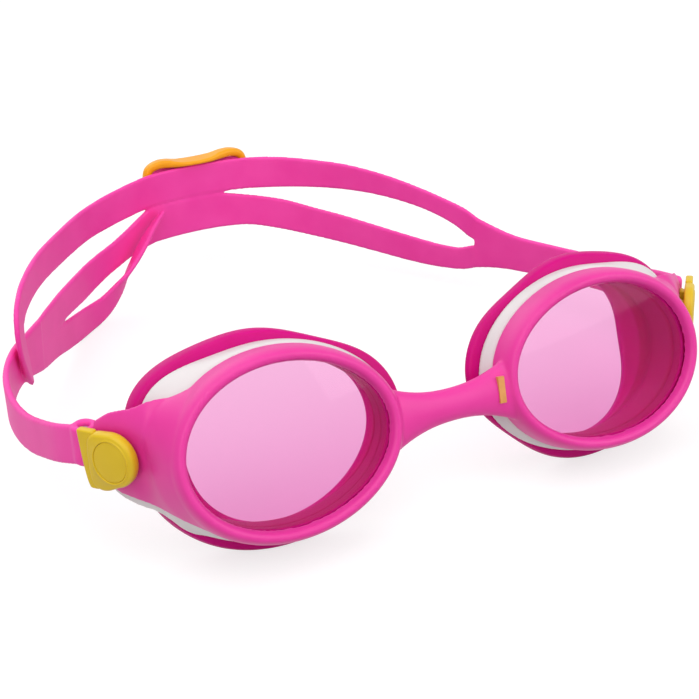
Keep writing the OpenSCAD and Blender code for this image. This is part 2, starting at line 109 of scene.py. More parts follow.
def ring(grid):
    """A grid of rows by columns, joined last to first both ways."""
    return shell(grid.reshape(-1, 3), grid_quads(*grid.shape[:2], True))


def tube(grid):
    """A grid whose rows are closed sections, with a fan from the middle of each end."""
    u, v = grid.shape[:2]
    k, beside, end = np.arange(v), np.arange(1, v + 1) % v, (u - 1) * v
    first = np.stack([k, beside, np.full(v, u * v)], -1)
    last = np.stack([end + beside, end + k, np.full(v, u * v + 1)], -1)
    points = np.concatenate([grid.reshape(-1, 3), grid[[0, -1]].mean(1)])
    return shell(points, grid_quads(u, v, False), np.concatenate([first, last]))


def slab(outer, inner):
    """A closed sheet between two grids of the same size, with a wall along each edge."""
    u, v = outer.shape[:2]
    grid = np.concatenate([outer, inner[:, ::-1]], 1)
    k = np.arange(v - 1)
    first = np.stack([k, k + 1, 2 * v - 2 - k, 2 * v - 1 - k], -1)
    last = (first + (u - 1) * 2 * v)[:, ::-1]
    return shell(grid.reshape(-1, 3), np.concatenate([grid_quads(u, 2 * v, False), first, last]))


def as_made(part):
    """The shell itself: every shell is made for the right side."""
    return part


def mirrored(part):
    """The same shell for the left side: x changes sign and the faces turn round."""
    points, quads, tris = part
    return points * [-1, 1, 1], quads[:, ::-1], tris[:, ::-1]


SIDES = (("right", as_made), ("left", mirrored))
print("mesh helpers ready for", [side for side, turn in SIDES])

# %% Shells into objects
def put(name, shells):
    """One smooth-shaded object from a list of shells in millimetres, with its place
    in its mesh."""
    start, points, loops, totals = 0, [], [], []
    for part, quads, tris in shells:
        points.append(part)
        loops += [(quads + start).ravel(), (tris + start).ravel()]
        totals += [np.full(len(quads), 4), np.full(len(tris), 3)]
        start += len(part)
    points = np.concatenate(points) * MM
    loops, totals = np.concatenate(loops), np.concatenate(totals)
    mesh = bpy.data.meshes.new(name)
    mesh.vertices.add(len(points))
    mesh.vertices.foreach_set("co", points.ravel())
    mesh.loops.add(len(loops))
    mesh.loops.foreach_set("vertex_index", loops.astype(np.int32))
    mesh.polygons.add(len(totals))
    mesh.polygons.foreach_set("loop_start", (np.cumsum(totals) - totals).astype(np.int32))
    mesh.polygons.foreach_set("use_smooth", np.ones(len(totals), bool))
    mesh.update(calc_edges=True)
    mesh.validate()
    return linked(name, mesh)


def coat(piece, material):
    """Gives a piece one material all over."""
    piece.data.materials.clear()
    piece.data.materials.append(material)


def finish_piece(piece, body, slot, material, *nodes):
    """Hands a piece to the frame: its material, its body and the nodes it stands for.
    The slot argument is not used.
    """
    coat(piece, material)
    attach(piece, body)
    if nodes:
        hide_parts(*nodes)
    print(piece.name, "on", body, "with", len(piece.data.polygons), "faces")


print("object helpers ready")

# %% Shells melted into one moulding
PULL, PUSH = 0.5, 0.52


def relaxed(mesh, rounds, ease):
    """Smooths a mesh without shrinking it: each round pulls every point half way to
    the mean of its neighbours, then pushes it back by nearly as much. ease is the
    share of the push that is left out, which rounds inner corners more."""
    points = np.empty(len(mesh.vertices) * 3)
    mesh.vertices.foreach_get("co", points)
    points = points.reshape(-1, 3)
    edges = np.empty(len(mesh.edges) * 2, np.int32)
    mesh.edges.foreach_get("vertices", edges)
    a, b = edges.reshape(-1, 2).T
    count = np.bincount(np.concatenate([a, b]), minlength=len(points))[:, None]
    for share in [PULL, -PUSH * (1 - ease)] * rounds:
        sums = [np.bincount(a, points[b, k], len(points)) + np.bincount(b, points[a, k], len(points))
                for k in range(3)]
        points = points + share * (np.stack(sums, -1) / count - points)
    mesh.vertices.foreach_set("co", points.ravel())
    mesh.update()


def baked(piece):
    """The mesh that a piece's modifiers give."""
    graph = bpy.context.evaluated_depsgraph_get()
    return bpy.data.meshes.new_from_object(piece.evaluated_get(graph))


def moulded(name, shells, cell, rounds, ease=0.0):
    """One skin round overlapping shells, as a mould would give: a voxel remesh with
    cells of the given size in millimetres melts them together, then relaxed() takes
    the steps off."""
    draft = put(name + "_draft", shells)
    melt = draft.modifiers.new("melt", "REMESH")
    melt.mode = "VOXEL"
    melt.voxel_size = cell * MM
    mesh = baked(draft)
    bpy.data.objects.remove(draft)
    relaxed(mesh, rounds, ease)
    mesh.polygons.foreach_set("use_smooth", np.ones(len(mesh.polygons), bool))
    mesh.name = name
    return linked(name, mesh)


print("moulding helpers ready")

# %% [markdown]
# ## Colours and moulded grain
# Silicone and plastic are never one flat colour: the pigment clouds a little, and the
# mould leaves a fine grain that breaks the shine. Both come from one node group that
# every material uses with its own scale and strength.

# %% Node helpers
def srgb(red, green, blue):
    """A colour read off a screen, as the linear values that Blender works in."""
    c = np.array([red, green, blue]) / 255
    return (*np.where(c <= 0.04045, c / 12.92, ((c + 0.055) / 1.055) ** 2.4), 1.0)


def give(shader, **values):
    """Sets a node's inputs by name, with _ for each space in a name."""
    for key, value in values.items():
        shader.inputs[key.replace("_", " ")].default_value = value


def node(tree, kind, place, **values):
    """A new node at a place in its tree, with its named input values set."""
    made = tree.nodes.new(kind)
    made.location = place
    give(made, **values)
    return made


def wire(tree, *pairs):
    """Links the output to the input of each pair."""
    for output, target in pairs:
        tree.links.new(output, target)


def ramped(tree, colours, places):
    """A ramp from the first colour at the first place to the second at the second."""
    ramp = node(tree, "ShaderNodeValToRGB", (-400, 200))
    for k in (0, 1):
        ramp.color_ramp.elements[k].position = places[k]
        ramp.color_ramp.elements[k].color = colours[k]
    return ramp


print("node helpers ready")

# %% The grain group
GRAIN_INPUTS = {"Cloud Scale": 60.0, "Grain Scale": 2500.0, "Roughness": 0.4, "Roughness Spread": 0.1}
grain = bpy.data.node_groups.new("moulded_grain", "ShaderNodeTree")
for name, usual in GRAIN_INPUTS.items():
    grain.interface.new_socket(name, in_out="INPUT", socket_type="NodeSocketFloat").default_value = usual
for name in ("Cloud", "Roughness", "Grain"):
    grain.interface.new_socket(name, in_out="OUTPUT", socket_type="NodeSocketFloat")
group_in = node(grain, "NodeGroupInput", (-700, 0))
group_out = node(grain, "NodeGroupOutput", (500, 0))
group_place = node(grain, "ShaderNodeTexCoord", (-700, 250))
clouds = node(grain, "ShaderNodeTexNoise", (-450, 200), Detail=3.0, Roughness=0.55)
pores = node(grain, "ShaderNodeTexNoise", (-450, -100), Detail=2.0, Roughness=0.5)
centred = node(grain, "ShaderNodeMath", (-200, 100))
centred.operation = "SUBTRACT"
centred.inputs[1].default_value = 0.5
shine = node(grain, "ShaderNodeMath", (50, 50))
shine.operation = "MULTIPLY_ADD"
wire(grain,
     (group_place.outputs["Object"], clouds.inputs["Vector"]),
     (group_place.outputs["Object"], pores.inputs["Vector"]),
     (group_in.outputs["Cloud Scale"], clouds.inputs["Scale"]),
     (group_in.outputs["Grain Scale"], pores.inputs["Scale"]),
     (clouds.outputs["Fac"], centred.inputs[0]),
     (centred.outputs[0], shine.inputs[0]),
     (group_in.outputs["Roughness Spread"], shine.inputs[1]),
     (group_in.outputs["Roughness"], shine.inputs[2]),
     (clouds.outputs["Fac"], group_out.inputs["Cloud"]),
     (shine.outputs[0], group_out.inputs["Roughness"]),
     (pores.outputs["Fac"], group_out.inputs["Grain"]))
print("grain group with", len(grain.nodes), "nodes")

# %% A material on the grain group
ROUGHNESS_SPREAD, PORE_SCALE, PORE_DEPTH = 0.12, 2600.0, 0.00005
CLOUD_RANGE = (0.3, 0.7)


def new_material(name):
    """A material with nodes, its tree and its Principled shader."""
    made = bpy.data.materials.new(name)
    made.use_nodes = True
    return made, made.node_tree, made.node_tree.nodes["Principled BSDF"]


def grain_in(tree, **values):
    """The grain group in a material, with its own values."""
    group = node(tree, "ShaderNodeGroup", (-700, 0))
    group.node_tree = grain
    give(group, **values)
    return group


def moulded_material(name, deep, pale, roughness, cloud_scale=70.0, bump=0.12, **constants):
    """A Principled material whose colour drifts from deep to pale with the clouds,
    whose roughness follows them, and whose pores raise a fine bump."""
    made, tree, skin = new_material(name)
    group = grain_in(tree, Cloud_Scale=cloud_scale, Grain_Scale=PORE_SCALE,
                     Roughness=roughness, Roughness_Spread=ROUGHNESS_SPREAD)
    ramp = ramped(tree, (deep, pale), CLOUD_RANGE)
    raised = node(tree, "ShaderNodeBump", (-300, -250), Strength=bump, Distance=PORE_DEPTH)
    wire(tree,
         (group.outputs["Cloud"], ramp.inputs["Fac"]),
         (ramp.outputs["Color"], skin.inputs["Base Color"]),
         (group.outputs["Roughness"], skin.inputs["Roughness"]),
         (group.outputs["Grain"], raised.inputs["Height"]),
         (raised.outputs["Normal"], skin.inputs["Normal"]))
    give(skin, **constants)
    return made


print("pores of every material: scale", PORE_SCALE)

# %% Silicones, plastics and steel
# The numbers of a Mix node's sockets when it mixes colours.
MIX_SHARE, MIX_FIRST, MIX_SECOND, MIX_RESULT = 0, 6, 7, 2
SOFT_GLOW = {"Subsurface_Weight": 0.12, "Subsurface_Radius": (1.0, 0.5, 0.8)}


def painted_inner_light(material, colour):
    """Paints light into a material: draws its colour towards another by the share
    in the mesh's painted light attribute. A mesh without that attribute keeps the first colour."""
    tree = material.node_tree
    base = tree.nodes["Principled BSDF"].inputs["Base Color"]
    share = node(tree, "ShaderNodeAttribute", (-400, 450))
    share.attribute_name = "painted_light"
    blend = node(tree, "ShaderNodeMix", (-150, 300))
    blend.data_type = "RGBA"
    blend.inputs[MIX_SECOND].default_value = colour
    wire(tree,
         (share.outputs["Fac"], blend.inputs[MIX_SHARE]),
         (base.links[0].from_socket, blend.inputs[MIX_FIRST]),
         (blend.outputs[MIX_RESULT], base))


pink_silicone = moulded_material(
    "pink_silicone", srgb(222, 44, 148), srgb(229, 54, 156), 0.42,
    Specular_IOR_Level=0.4, Subsurface_Scale=0.002, **SOFT_GLOW)
strap_silicone = moulded_material(
    "strap_silicone", srgb(239, 58, 162), srgb(246, 73, 172), 0.5,
    Specular_IOR_Level=0.3, Subsurface_Scale=0.0015, **SOFT_GLOW)
magenta_silicone = moulded_material(
    "magenta_silicone", srgb(198, 0, 118), srgb(206, 0, 128), 0.5, Specular_IOR_Level=0.15,
    Subsurface_Weight=0.4, Subsurface_Radius=(1.0, 0.3, 1.0), Subsurface_Scale=0.002)
# Painted light: the seal's inner faces are drawn to a lighter, bluer magenta that stands in for light coming
# in through the lens.
painted_inner_light(magenta_silicone, srgb(230, 56, 180))
white_plastic = moulded_material(
    "white_plastic", srgb(216, 209, 210), srgb(224, 217, 218), 0.35, Specular_IOR_Level=0.35)
yellow_plastic = moulded_material(
    "yellow_plastic", srgb(214, 178, 16), srgb(224, 190, 32), 0.36, bump=0.08, Specular_IOR_Level=0.35)
amber_plastic = moulded_material(
    "amber_plastic", srgb(238, 156, 4), srgb(246, 170, 14), 0.36, bump=0.08, Specular_IOR_Level=0.3)
gold_inlay = moulded_material(
    "gold_inlay", srgb(208, 138, 66), srgb(226, 158, 84), 0.3, cloud_scale=400.0)
spring_steel = moulded_material(
    "spring_steel", srgb(176, 180, 184), srgb(200, 203, 206), 0.28, cloud_scale=600.0, Metallic=1.0)
print("materials with the grain group:", grain.users)

# %% [markdown]
# ## The tinted lens material
# The lenses are thin clear plastic with a pink tint that deepens towards the bottom, so
# the colour follows the height. The colour on a transmission shader is the tint of light
# that has gone in through one face and out through the other. The index of refraction
# is low, so what lies behind a lens is hardly shifted. A very slight cloud in the
# roughness keeps the shine from being perfect.

# %% Lens material
TINT_FOOT, TINT_TOP = 0.008, 0.038
tinted_lens, lens_tree, lens_skin = new_material("tinted_lens")
lens_grain = grain_in(lens_tree, Cloud_Scale=90.0, Grain_Scale=900.0, Roughness=0.02, Roughness_Spread=0.02)
lens_place = node(lens_tree, "ShaderNodeTexCoord", (-1100, 250))
lens_axes = node(lens_tree, "ShaderNodeSeparateXYZ", (-900, 250))
lens_height = node(lens_tree, "ShaderNodeMapRange", (-700, 250), From_Min=TINT_FOOT, From_Max=TINT_TOP)
lens_tint = ramped(lens_tree, (srgb(234, 148, 204), srgb(239, 180, 218)), (0, 1))
wire(lens_tree,
     (lens_place.outputs["Object"], lens_axes.inputs[0]),
     (lens_axes.outputs["Z"], lens_height.inputs["Value"]),
     (lens_height.outputs["Result"], lens_tint.inputs["Fac"]),
     (lens_tint.outputs["Color"], lens_skin.inputs["Base Color"]),
     (lens_grain.outputs["Roughness"], lens_skin.inputs["Roughness"]))
give(lens_skin, Transmission_Weight=1.0, IOR=1.2)
print("lens tint from", TINT_FOOT, "to", TINT_TOP, "m up")

# %% [markdown]
# ## The outline of an eye
# Both eyes share one outline, an oval that is a little fuller at the temple. Every
# ring of an eye is this outline, grown by r and set back by y. The front leans back
# as it stands, so its points are worked out upright and leaned at the end.

# %% Eye outline
FRONT_Y, STAND_H, LEAN = -64.35, 22.94, np.radians(18.3)
EYE_X, EYE_LONG, EYE_HIGH, EYE_SKEW = 33, 19.4, 14.7, 0.04
AROUND = np.arange(0, 360, 2.0)[:, None]


def stood(p):
    """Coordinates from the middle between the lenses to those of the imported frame."""
    return p + np.array([0, FRONT_Y, STAND_H])


def tipped(p, angle):
    """Turns points about X: y becomes y cos + z sin, and z becomes z cos - y sin."""
    y = p[..., 1] * np.cos(angle) + p[..., 2] * np.sin(angle)
    z = p[..., 2] * np.cos(angle) - p[..., 1] * np.sin(angle)
    return np.stack([p[..., 0], y, z], -1)


def leaned(p):
    """Tips the front back by its lean about the line through the lens centres."""
    return stood(tipped(p, LEAN))


def eye_point(t, r, y):
    """x = EYE_X + (EYE_LONG + r) cos t and z = (EYE_HIGH + r) sin t (1 + EYE_SKEW cos t),
    with t in degrees from the temple, and y behind the lens plane."""
    t, r, y = np.broadcast_arrays(np.radians(t), r, y)
    z = (EYE_HIGH + r) * np.sin(t) * (1 + EYE_SKEW * np.cos(t))
    return np.stack([EYE_X + (EYE_LONG + r) * np.cos(t), y, z], -1)


print("eye outline width", np.ptp(eye_point(AROUND, 0, 0.0)[..., 0]), "mm")

# %% Faces that spread from the outline
CUP_Y, SPREAD_AFTER, SPREAD_OVER, TEMPLE_DEPTH = 3.65, 0.35, 4, 0.45
# Each lobe is an angle in degrees from the temple and how tight it is.
AT_CLIP, ABOVE_CLIP, BELOW_CLIP, AT_NOSE = (0, 2), (34, 1.6), (-30, 1.6), (180, 0.8)
INNER_TOP, INNER_FOOT, FOOT_SHARE = (120, 1.8), (218, 1.4), 1.5


def lobe(t, at, tight):
    """A smooth bump round the angle at: the fourth power of a cosine, zero outside it."""
    d = np.abs((t - at + 540) % 360 - 180) * tight
    return np.where(d < 90, np.cos(np.radians(np.minimum(d, 90))) ** 4, 0)


def face_point(t, r, y, spread, gradual):
    """An eye point that spreads above and below the clip and by the nose, is flatter
    behind the clip, and lies deeper at the temple. Where gradual is true, the spread
    grows with the depth behind the cup's front."""
    flat, upper, lower, nose, beside = spread
    inner = lobe(t, *INNER_TOP) + FOOT_SHARE * lobe(t, *INNER_FOOT)
    wide = (upper * lobe(t, *ABOVE_CLIP) + lower * lobe(t, *BELOW_CLIP) - flat * lobe(t, *AT_CLIP)
            + nose * lobe(t, *AT_NOSE) + beside * inner)
    back = np.clip((y - CUP_Y - SPREAD_AFTER) / SPREAD_OVER, 0, 1) if gradual else 1
    r = np.where(r > 1, 1 + (r - 1) * (1 + wide * back), r)
    y = np.where(y > CUP_Y, CUP_Y + (y - CUP_Y) * (1 + TEMPLE_DEPTH * np.cos(np.radians(t))), y)
    return eye_point(t, r, y)


print("the temple lies deeper by a share of", TEMPLE_DEPTH)

# %% Smooth curves
EACH, ROUNDING = 4, 0.7


def eased(x):
    """Rises from 0 to 1 as half a cosine wave."""
    return (1 - np.cos(np.pi * np.clip(x, 0, 1))) / 2


def cubic(a, b, m, n, u):
    """The cubic from a, with slope m at u = 0, to b, with slope n at u = 1."""
    d = b - a
    return a + u * m + u ** 2 * (3 * d - 2 * m - n) + u ** 3 * (m + n - 2 * d)


def rounded_loop(corners):
    """A closed smooth curve through the corners, with EACH points from one to the next:
    cubic pieces whose slopes run parallel to the line between the neighbours."""
    c = np.array(corners, float)
    after = np.roll(c, -1, 0)
    slope = (after - np.roll(c, 1, 0)) / 2 * ROUNDING
    u = (np.arange(EACH) / EACH)[None, :, None]
    loop = cubic(c[:, None], after[:, None], slope[:, None], np.roll(slope, -1, 0)[:, None], u)
    return loop.reshape(-1, c.shape[1])


def through(rows, steps):
    """A smooth surface through rows of points: cubic pieces with slopes between the
    neighbouring rows."""
    slopes = np.gradient(rows, axis=0)
    s = np.linspace(0, len(rows) - 1, steps)
    i = np.minimum(s.astype(int), len(rows) - 2)
    return cubic(rows[i], rows[i + 1], slopes[i], slopes[i + 1], (s - i)[:, None, None])


print("points from corner to corner:", EACH)

# %% [markdown]
# ## The soft frame
# Rims, wings and nose bridge are one silicone moulding, so they flow into each other.
# Each is first a surface of its own: the rim a rounded profile carried round the eye,
# the wing a loft from the rim back to the clip's pad, the bridge a row of ellipses.
# A voxel remesh then melts them into one skin, which no single grid could give.

# %% Clip directions
PIVOT = np.array([61.3, 11.195, -0.2266])
TOE, PITCH = np.radians(40), np.radians(1)


def clip_place(out, along, up):
    """A clip's own directions, out of its face, along its tail and up, measured from the
    middle between the lenses: turned by the toe about Z, then by the pitch about X."""
    out, along, up = np.broadcast_arrays(out, along, up)
    x = out * np.cos(TOE) + along * np.sin(TOE)
    y = along * np.cos(TOE) - out * np.sin(TOE)
    return PIVOT + tipped(np.stack([x, y, up], -1), PITCH)


def pad_place(out, along, up):
    """The same place as the front sees it before it leans back."""
    return tipped(clip_place(out, along, up), -LEAN)


print("clip pivot", PIVOT)

# %% Rim and bridge
RIM_PROFILE = [[0, -0.45], [0, -0.65], [0.35, -2], [1, -2.5], [1.7, -2.4], [2.3, -1.6],
               [2.7, -0.4], [2.9, 1.5], [2.8, 3.6], [0.9, 3.6], [0.9, -0.45]]
BRIDGE_HALF, BRIDGE_BACK, BRIDGE_UP, BRIDGE_POWER = 12.4, 0.6, -0.8, 2.2
BRIDGE_MIDDLE, BRIDGE_GROWS = (2.1, 3.1), (0.3, 2.9)


def rim():
    """The lip's profile of (r, y) points, rounded, carried round the opening."""
    r, y = rounded_loop(RIM_PROFILE).T
    return ring(leaned(eye_point(AROUND, r, y)))


def bridge():
    """Ellipses across the nose, with the half sizes of BRIDGE_MIDDLE, that grow towards
    each rim by BRIDGE_GROWS times a power of the distance from the middle."""
    x = np.linspace(-BRIDGE_HALF, BRIDGE_HALF, 41)[:, None]
    f = np.abs(x / BRIDGE_HALF) ** BRIDGE_POWER
    a = np.linspace(0, 2 * np.pi, 48, endpoint=False)[None]
    deep, high = (half + grows * f for half, grows in zip(BRIDGE_MIDDLE, BRIDGE_GROWS))
    y, z = BRIDGE_BACK + deep * np.cos(a), BRIDGE_UP + high * np.sin(a)
    return tube(leaned(np.stack(np.broadcast_arrays(x, y, z), -1)))


print("bridge", 2 * BRIDGE_HALF, "mm long")

# %% Wing
CUP_PROFILE = [[0.95, 3.65], [2.6, 3.65], [3.1, 4.15], [3.3, 5.05], [3.4, 6.5], [3.2, 8], [0.95, 8]]
CUP_SPREAD = (0.4, 1.6, 0.5, 0.5, 0)
PAD_FACE, PAD_ROLL, SWELL = -0.92, 1.2, 2.6
WING_PAD = ((-5.6, 0.1, 10.2, 0.5, 1.6), (-2, -0.3, 9.1, 0, 0.4), (2, -0.4, 8, 0, 0), (5.3, -0.1, 5.6, 0, 0))
WING_STEPS, WING_ACROSS = 110, 61


def on_cup(t, y, proud):
    """A point on the cup's outer face, standing proud of it, at depth y of its profile."""
    radius, depth = np.array(CUP_PROFILE[1:6]).T
    return face_point(t, np.interp(y, depth, radius) + proud, y, CUP_SPREAD, True)


def wing_face():
    """The outer face, through seven rows: two on the rim's side, one over the cup, then
    four across the clip's pad, each a place along the tail, a middle, a half height, a
    lift of its middle and a drop of its upper corner. The pad rolls over towards its
    upper and lower edges, and the row over the cup swells above the middle."""
    v = np.sin(np.linspace(-1, 1, WING_ACROSS) * np.pi / 2) * 0.999
    ends, middle = np.abs(v) ** 3, 1 - v ** 2
    roll = PAD_ROLL * np.clip((np.abs(v) - 0.5) / 0.5, 0, 1) ** 2
    dip = np.clip((v - 0.45) / 0.55, 0, 1) ** 1.5
    swell = SWELL * np.maximum(v, 0) * middle
    # A row round the eye is its angles from the temple, how far out it is and how deep.
    rows = [eye_point(3 + 52 * v, 1.9 + 0.7 * ends, -1.9 + 2.4 * ends),
            eye_point(3 + 47 * v, 2.9 + 0.45 * swell, 0.3 + 2.4 * ends),
            on_cup(5 + 36 * v, 4.4, 0.5 + 0.7 * middle + 1.1 * swell)]
    rows += [pad_place(PAD_FACE + lift * middle ** 2 - roll - drop * dip, along, centre + half * v)
             for along, centre, half, lift, drop in WING_PAD]
    return v, through(np.stack(rows), WING_STEPS)


def wing():
    """The outer face and an inner one that lies a thickness behind it, thickest in the
    middle of its length, and draws in at the edges and at the end of the pad."""
    v, outer = wing_face()
    normal = np.cross(np.gradient(outer, axis=0), np.gradient(outer, axis=1))
    normal /= np.linalg.norm(normal, axis=-1, keepdims=True)
    # A point in the middle of the pad faces out to the side and forwards.
    normal *= np.sign(normal[80, 30] @ [1, -1, 0])
    u = np.linspace(0, 1, WING_STEPS)
    thick = 0.8 + eased(u / 0.4) - 0.3 * eased((u - 0.5) / 0.3)
    end = np.sqrt(1.02 - np.clip((u - 0.95) / 0.05, 0, 1) ** 3)
    inner = outer - normal * np.sqrt(1 - v ** 14)[None, :, None] * (thick * end)[:, None, None]
    return slab(leaned(outer), leaned(inner))


print("wing grid", WING_STEPS, "by", WING_ACROSS)

# %% The frame in one skin
BORE_R, BORE_FROM, BORE_TO = 3.45, -5, 1


def bored(piece, cutter):
    """Cuts shells out of a piece and keeps the result as its mesh."""
    drill = put(piece.name + "_drill", cutter)
    cut = piece.modifiers.new("bore", "BOOLEAN")
    cut.operation, cut.solver, cut.object = "DIFFERENCE", "EXACT", drill
    mesh = baked(piece)
    piece.modifiers.remove(cut)
    bpy.data.objects.remove(drill)
    piece.data = mesh


def socket_bore():
    """A cylinder of radius BORE_R through the wing's pad, along the clip's axis."""
    t = np.radians(np.arange(0, 360, 5.0))[None]
    out = np.linspace(BORE_FROM, BORE_TO, 5)[:, None]
    return tube(stood(clip_place(out, BORE_R * np.cos(t), BORE_R * np.sin(t))))


front_shells = [rim(), wing(), mirrored(rim()), mirrored(wing()), bridge()]
front_skin = moulded("front_frame_soft", front_shells, cell=0.28, rounds=26, ease=0.05)
bored(front_skin, [socket_bore(), mirrored(socket_bore())])
finish_piece(front_skin, "front", "pink_silicone", pink_silicone, "front_frame")

# %% [markdown]
# ## Cups, seals, gaskets and lenses
# Behind each rim sits a rigid white cup with an arm that carries the clip's socket, and
# behind the cup a flared seal that rolls in towards the skin. All but the arm are
# profiles carried round the eye. The lens is a shallow dome: the outline shrunk towards
# its middle, on two faces one thickness apart.

# %% Cup, seal and gasket rings
# The first value is the share of painted light on the sleeve and the gasket.
SLEEVE_PAINTED_LIGHT, INSIDE_FROM, LIP_FROM, LIP_OVER = 0.35, 12 * EACH, 0.2, 0.15
ROLL_TEMPLE, ROLL_NOSE, TEMPLE_LOBE, NOSE_LOBE = 6.2, 2.4, (0, 0.75), (195, 0.7)
NO_SPREAD, SEAL_SPREAD = (0, 0, 0, 0, 0), (0.15, 0.5, -0.1, 0.15, -0.3)
cup_profile = rounded_loop(CUP_PROFILE)
gasket_profile = rounded_loop([[0.15, 1.2], [0.15, 3.55], [0.85, 3.55], [0.85, 1.2]])
seal_profile = rounded_loop([
    [0.15, 3.65, 0], [0.9, 3.65, 0], [0.9, 8.05, 0], [3.1, 8.05, 0], [5.2, 8.6, 0], [5.7, 9.6, 0],
    [5.8, 10.8, 0], [5.4, 11.9, 0], [4.5, 12.7, 0], [3.3, 13, 0.1], [2.5, 12.85, 0.6], [1.9, 12.6, 0.95],
    [1.6, 12.1, 1], [1.5, 11.6, 0.9], [1.2, 11.2, 0.4], [0.9, 10.4, 0.08], [0.45, 9.4, 0], [0.15, 8.4, 0]])
# Painted light: a lighter, bluer magenta stands in for light through the lens; it is full on the inner side
# of the rolled lip and fainter on the sleeve.
lip = eased((seal_profile[:, 2] - LIP_FROM) / LIP_OVER)
seal_painted_light = np.where(np.arange(len(lip)) < INSIDE_FROM, 0, np.maximum(SLEEVE_PAINTED_LIGHT, lip))


def eye_ring(profile, spread=NO_SPREAD, gradual=True):
    """A rounded profile of (r, y) points carried round the eye. A third column is the
    share of ROLL_TEMPLE and ROLL_NOSE by which the seal's back edge rolls in."""
    r, y = profile[:, :2].T
    if profile.shape[1] > 2:
        roll = ROLL_TEMPLE * lobe(AROUND, *TEMPLE_LOBE) + ROLL_NOSE * lobe(AROUND, *NOSE_LOBE)
        r = r - profile[:, 2] * roll
    return ring(leaned(face_point(AROUND, r, y, spread, gradual)))


def give_painted_light(piece, share):
    """Gives the points of a piece their share of the painted light colour, repeated row by row."""
    values = np.resize(share, len(piece.data.vertices)).astype(np.float32)
    piece.data.attributes.new("painted_light", "FLOAT", "POINT").data.foreach_set("value", values)


print("points in the seal's profile:", len(seal_profile))

# %% Cup arm and lens
ARM_PAD = ((-5.6, -11.6, 5), (-2, -11, 5), (1.2, -10, 4.6), (3, -8.8, 4), (4, -7.4, 3))
LENS_EDGE, LENS_FRONT, LENS_DOME, LENS_THICK = 0.75, -0.55, 0.7, 1.8


def arm_face(proud, out):
    """One face of the arm: two rows on the cup's face, then rows across the back of the
    clip's pad, each a place along the tail with a lower and an upper end."""
    v = np.linspace(-1, 1, 41)
    rows = [on_cup(-20 + 30 * v, 5.6, proud), on_cup(-15 + 25.5 * v, 7.3, proud + 0.45)]
    rows += [pad_place(out - 0.9 * v ** 2, along, (low + high) / 2 + (high - low) / 2 * v)
             for along, low, high in ARM_PAD]
    return leaned(through(np.stack(rows), 60))


def cup_arm():
    """The cup's rigid arm behind the wing, which carries the clip's socket: a sheet from
    the cup's face back to the pad, seen as a thin edge under the wing. It melts into
    the cup."""
    return slab(arm_face(0, -1.8), arm_face(-1.2, -2.9))


def lens():
    """The outline, grown by LENS_EDGE and shrunk by rho towards the middle, on a dome that
    stands forward by LENS_DOME (1 - rho squared): the front face from its middle out,
    round the edge, and the back face in again."""
    reach = np.linspace(0.02, 0.99, 20)
    rho = np.concatenate([reach, [0.9975, 1, 1, 0.9975], reach[::-1]])[:, None]
    edge = [0.01, 0.08, LENS_THICK - 0.08, LENS_THICK - 0.01]
    depth = np.concatenate([np.zeros(20), edge, np.full(20, LENS_THICK)])[:, None]
    middle = np.array([EYE_X, 0, 0])
    outline = eye_point(np.arange(0, 360, 3.0)[None], LENS_EDGE, 0.0)
    p = middle + rho[..., None] * (outline - middle)
    p[..., 1] = LENS_FRONT + depth - LENS_DOME * (1 - rho ** 2)
    return tube(leaned(p))


for side, turn in SIDES:
    cup_shells = [turn(eye_ring(cup_profile, CUP_SPREAD)), turn(cup_arm())]
    cup = moulded("eye_cup_moulded_" + side, cup_shells, cell=0.27, rounds=20, ease=0.04)
    bored(cup, [turn(socket_bore())])
    finish_piece(cup, "front", "white_plastic", white_plastic, "eye_cup_" + side)
    seal = put("eye_seal_soft_" + side, [turn(eye_ring(seal_profile, SEAL_SPREAD, gradual=False))])
    # Painted light on the inner side of the seal.
    give_painted_light(seal, seal_painted_light)
    finish_piece(seal, "front", "magenta_silicone", magenta_silicone, "eye_seal_" + side)
    gasket = put("lens_gasket_soft_" + side, [turn(eye_ring(gasket_profile))])
    # The gasket takes the sleeve's share of painted light.
    give_painted_light(gasket, SLEEVE_PAINTED_LIGHT)
    finish_piece(gasket, "front", "magenta_silicone", magenta_silicone, "lens_gasket_" + side)
    pane = put("lens_domed_" + side, [turn(lens())])
    finish_piece(pane, "front", "tinted_lens", tinted_lens, "lens_" + side)

# %% [markdown]
# ## The strap's route
# Seen from above, the strap leaves each clip, runs along the temple and closes round
# the back in three arcs. A table for each stretch gives its height and how far it
# strays from that route. One smooth curve goes through each column of a table.

# %% Route
# Directions are in degrees from +Y towards +X.
AIM_CLIP, AIM_SIDE, AIM_BACK = 10.0, -26.0, -38.0
SIDE_LEN, FLANK_LEN = 61.4, 44.0
SIDE_R = SIDE_LEN / np.radians(AIM_CLIP - AIM_SIDE)
FLANK_R = FLANK_LEN / np.radians(AIM_SIDE - AIM_BACK)
ROUTE_START = np.array([69.1943, 17.4119])


def arc_step(r, a, b):
    """From heading a to heading b along an arc: r times (cos b - cos a, sin a - sin b)."""
    a, b = np.radians(a), np.radians(b)
    return r * np.stack([np.cos(b) - np.cos(a), np.sin(a) - np.sin(b)], -1)


FLANK_START = ROUTE_START + arc_step(SIDE_R, AIM_CLIP, AIM_SIDE)
BACK_START = FLANK_START + arc_step(FLANK_R, AIM_SIDE, AIM_BACK)
BACK_FROM = SIDE_LEN + FLANK_LEN
BACK_R = BACK_START[0] / np.cos(np.radians(AIM_BACK))
BACK_Y = BACK_START[1] + BACK_R * np.sin(np.radians(AIM_BACK))
HALF_ROUTE = BACK_FROM + BACK_R * np.radians(90 + AIM_BACK)
FULL_ROUTE = 2 * HALF_ROUTE


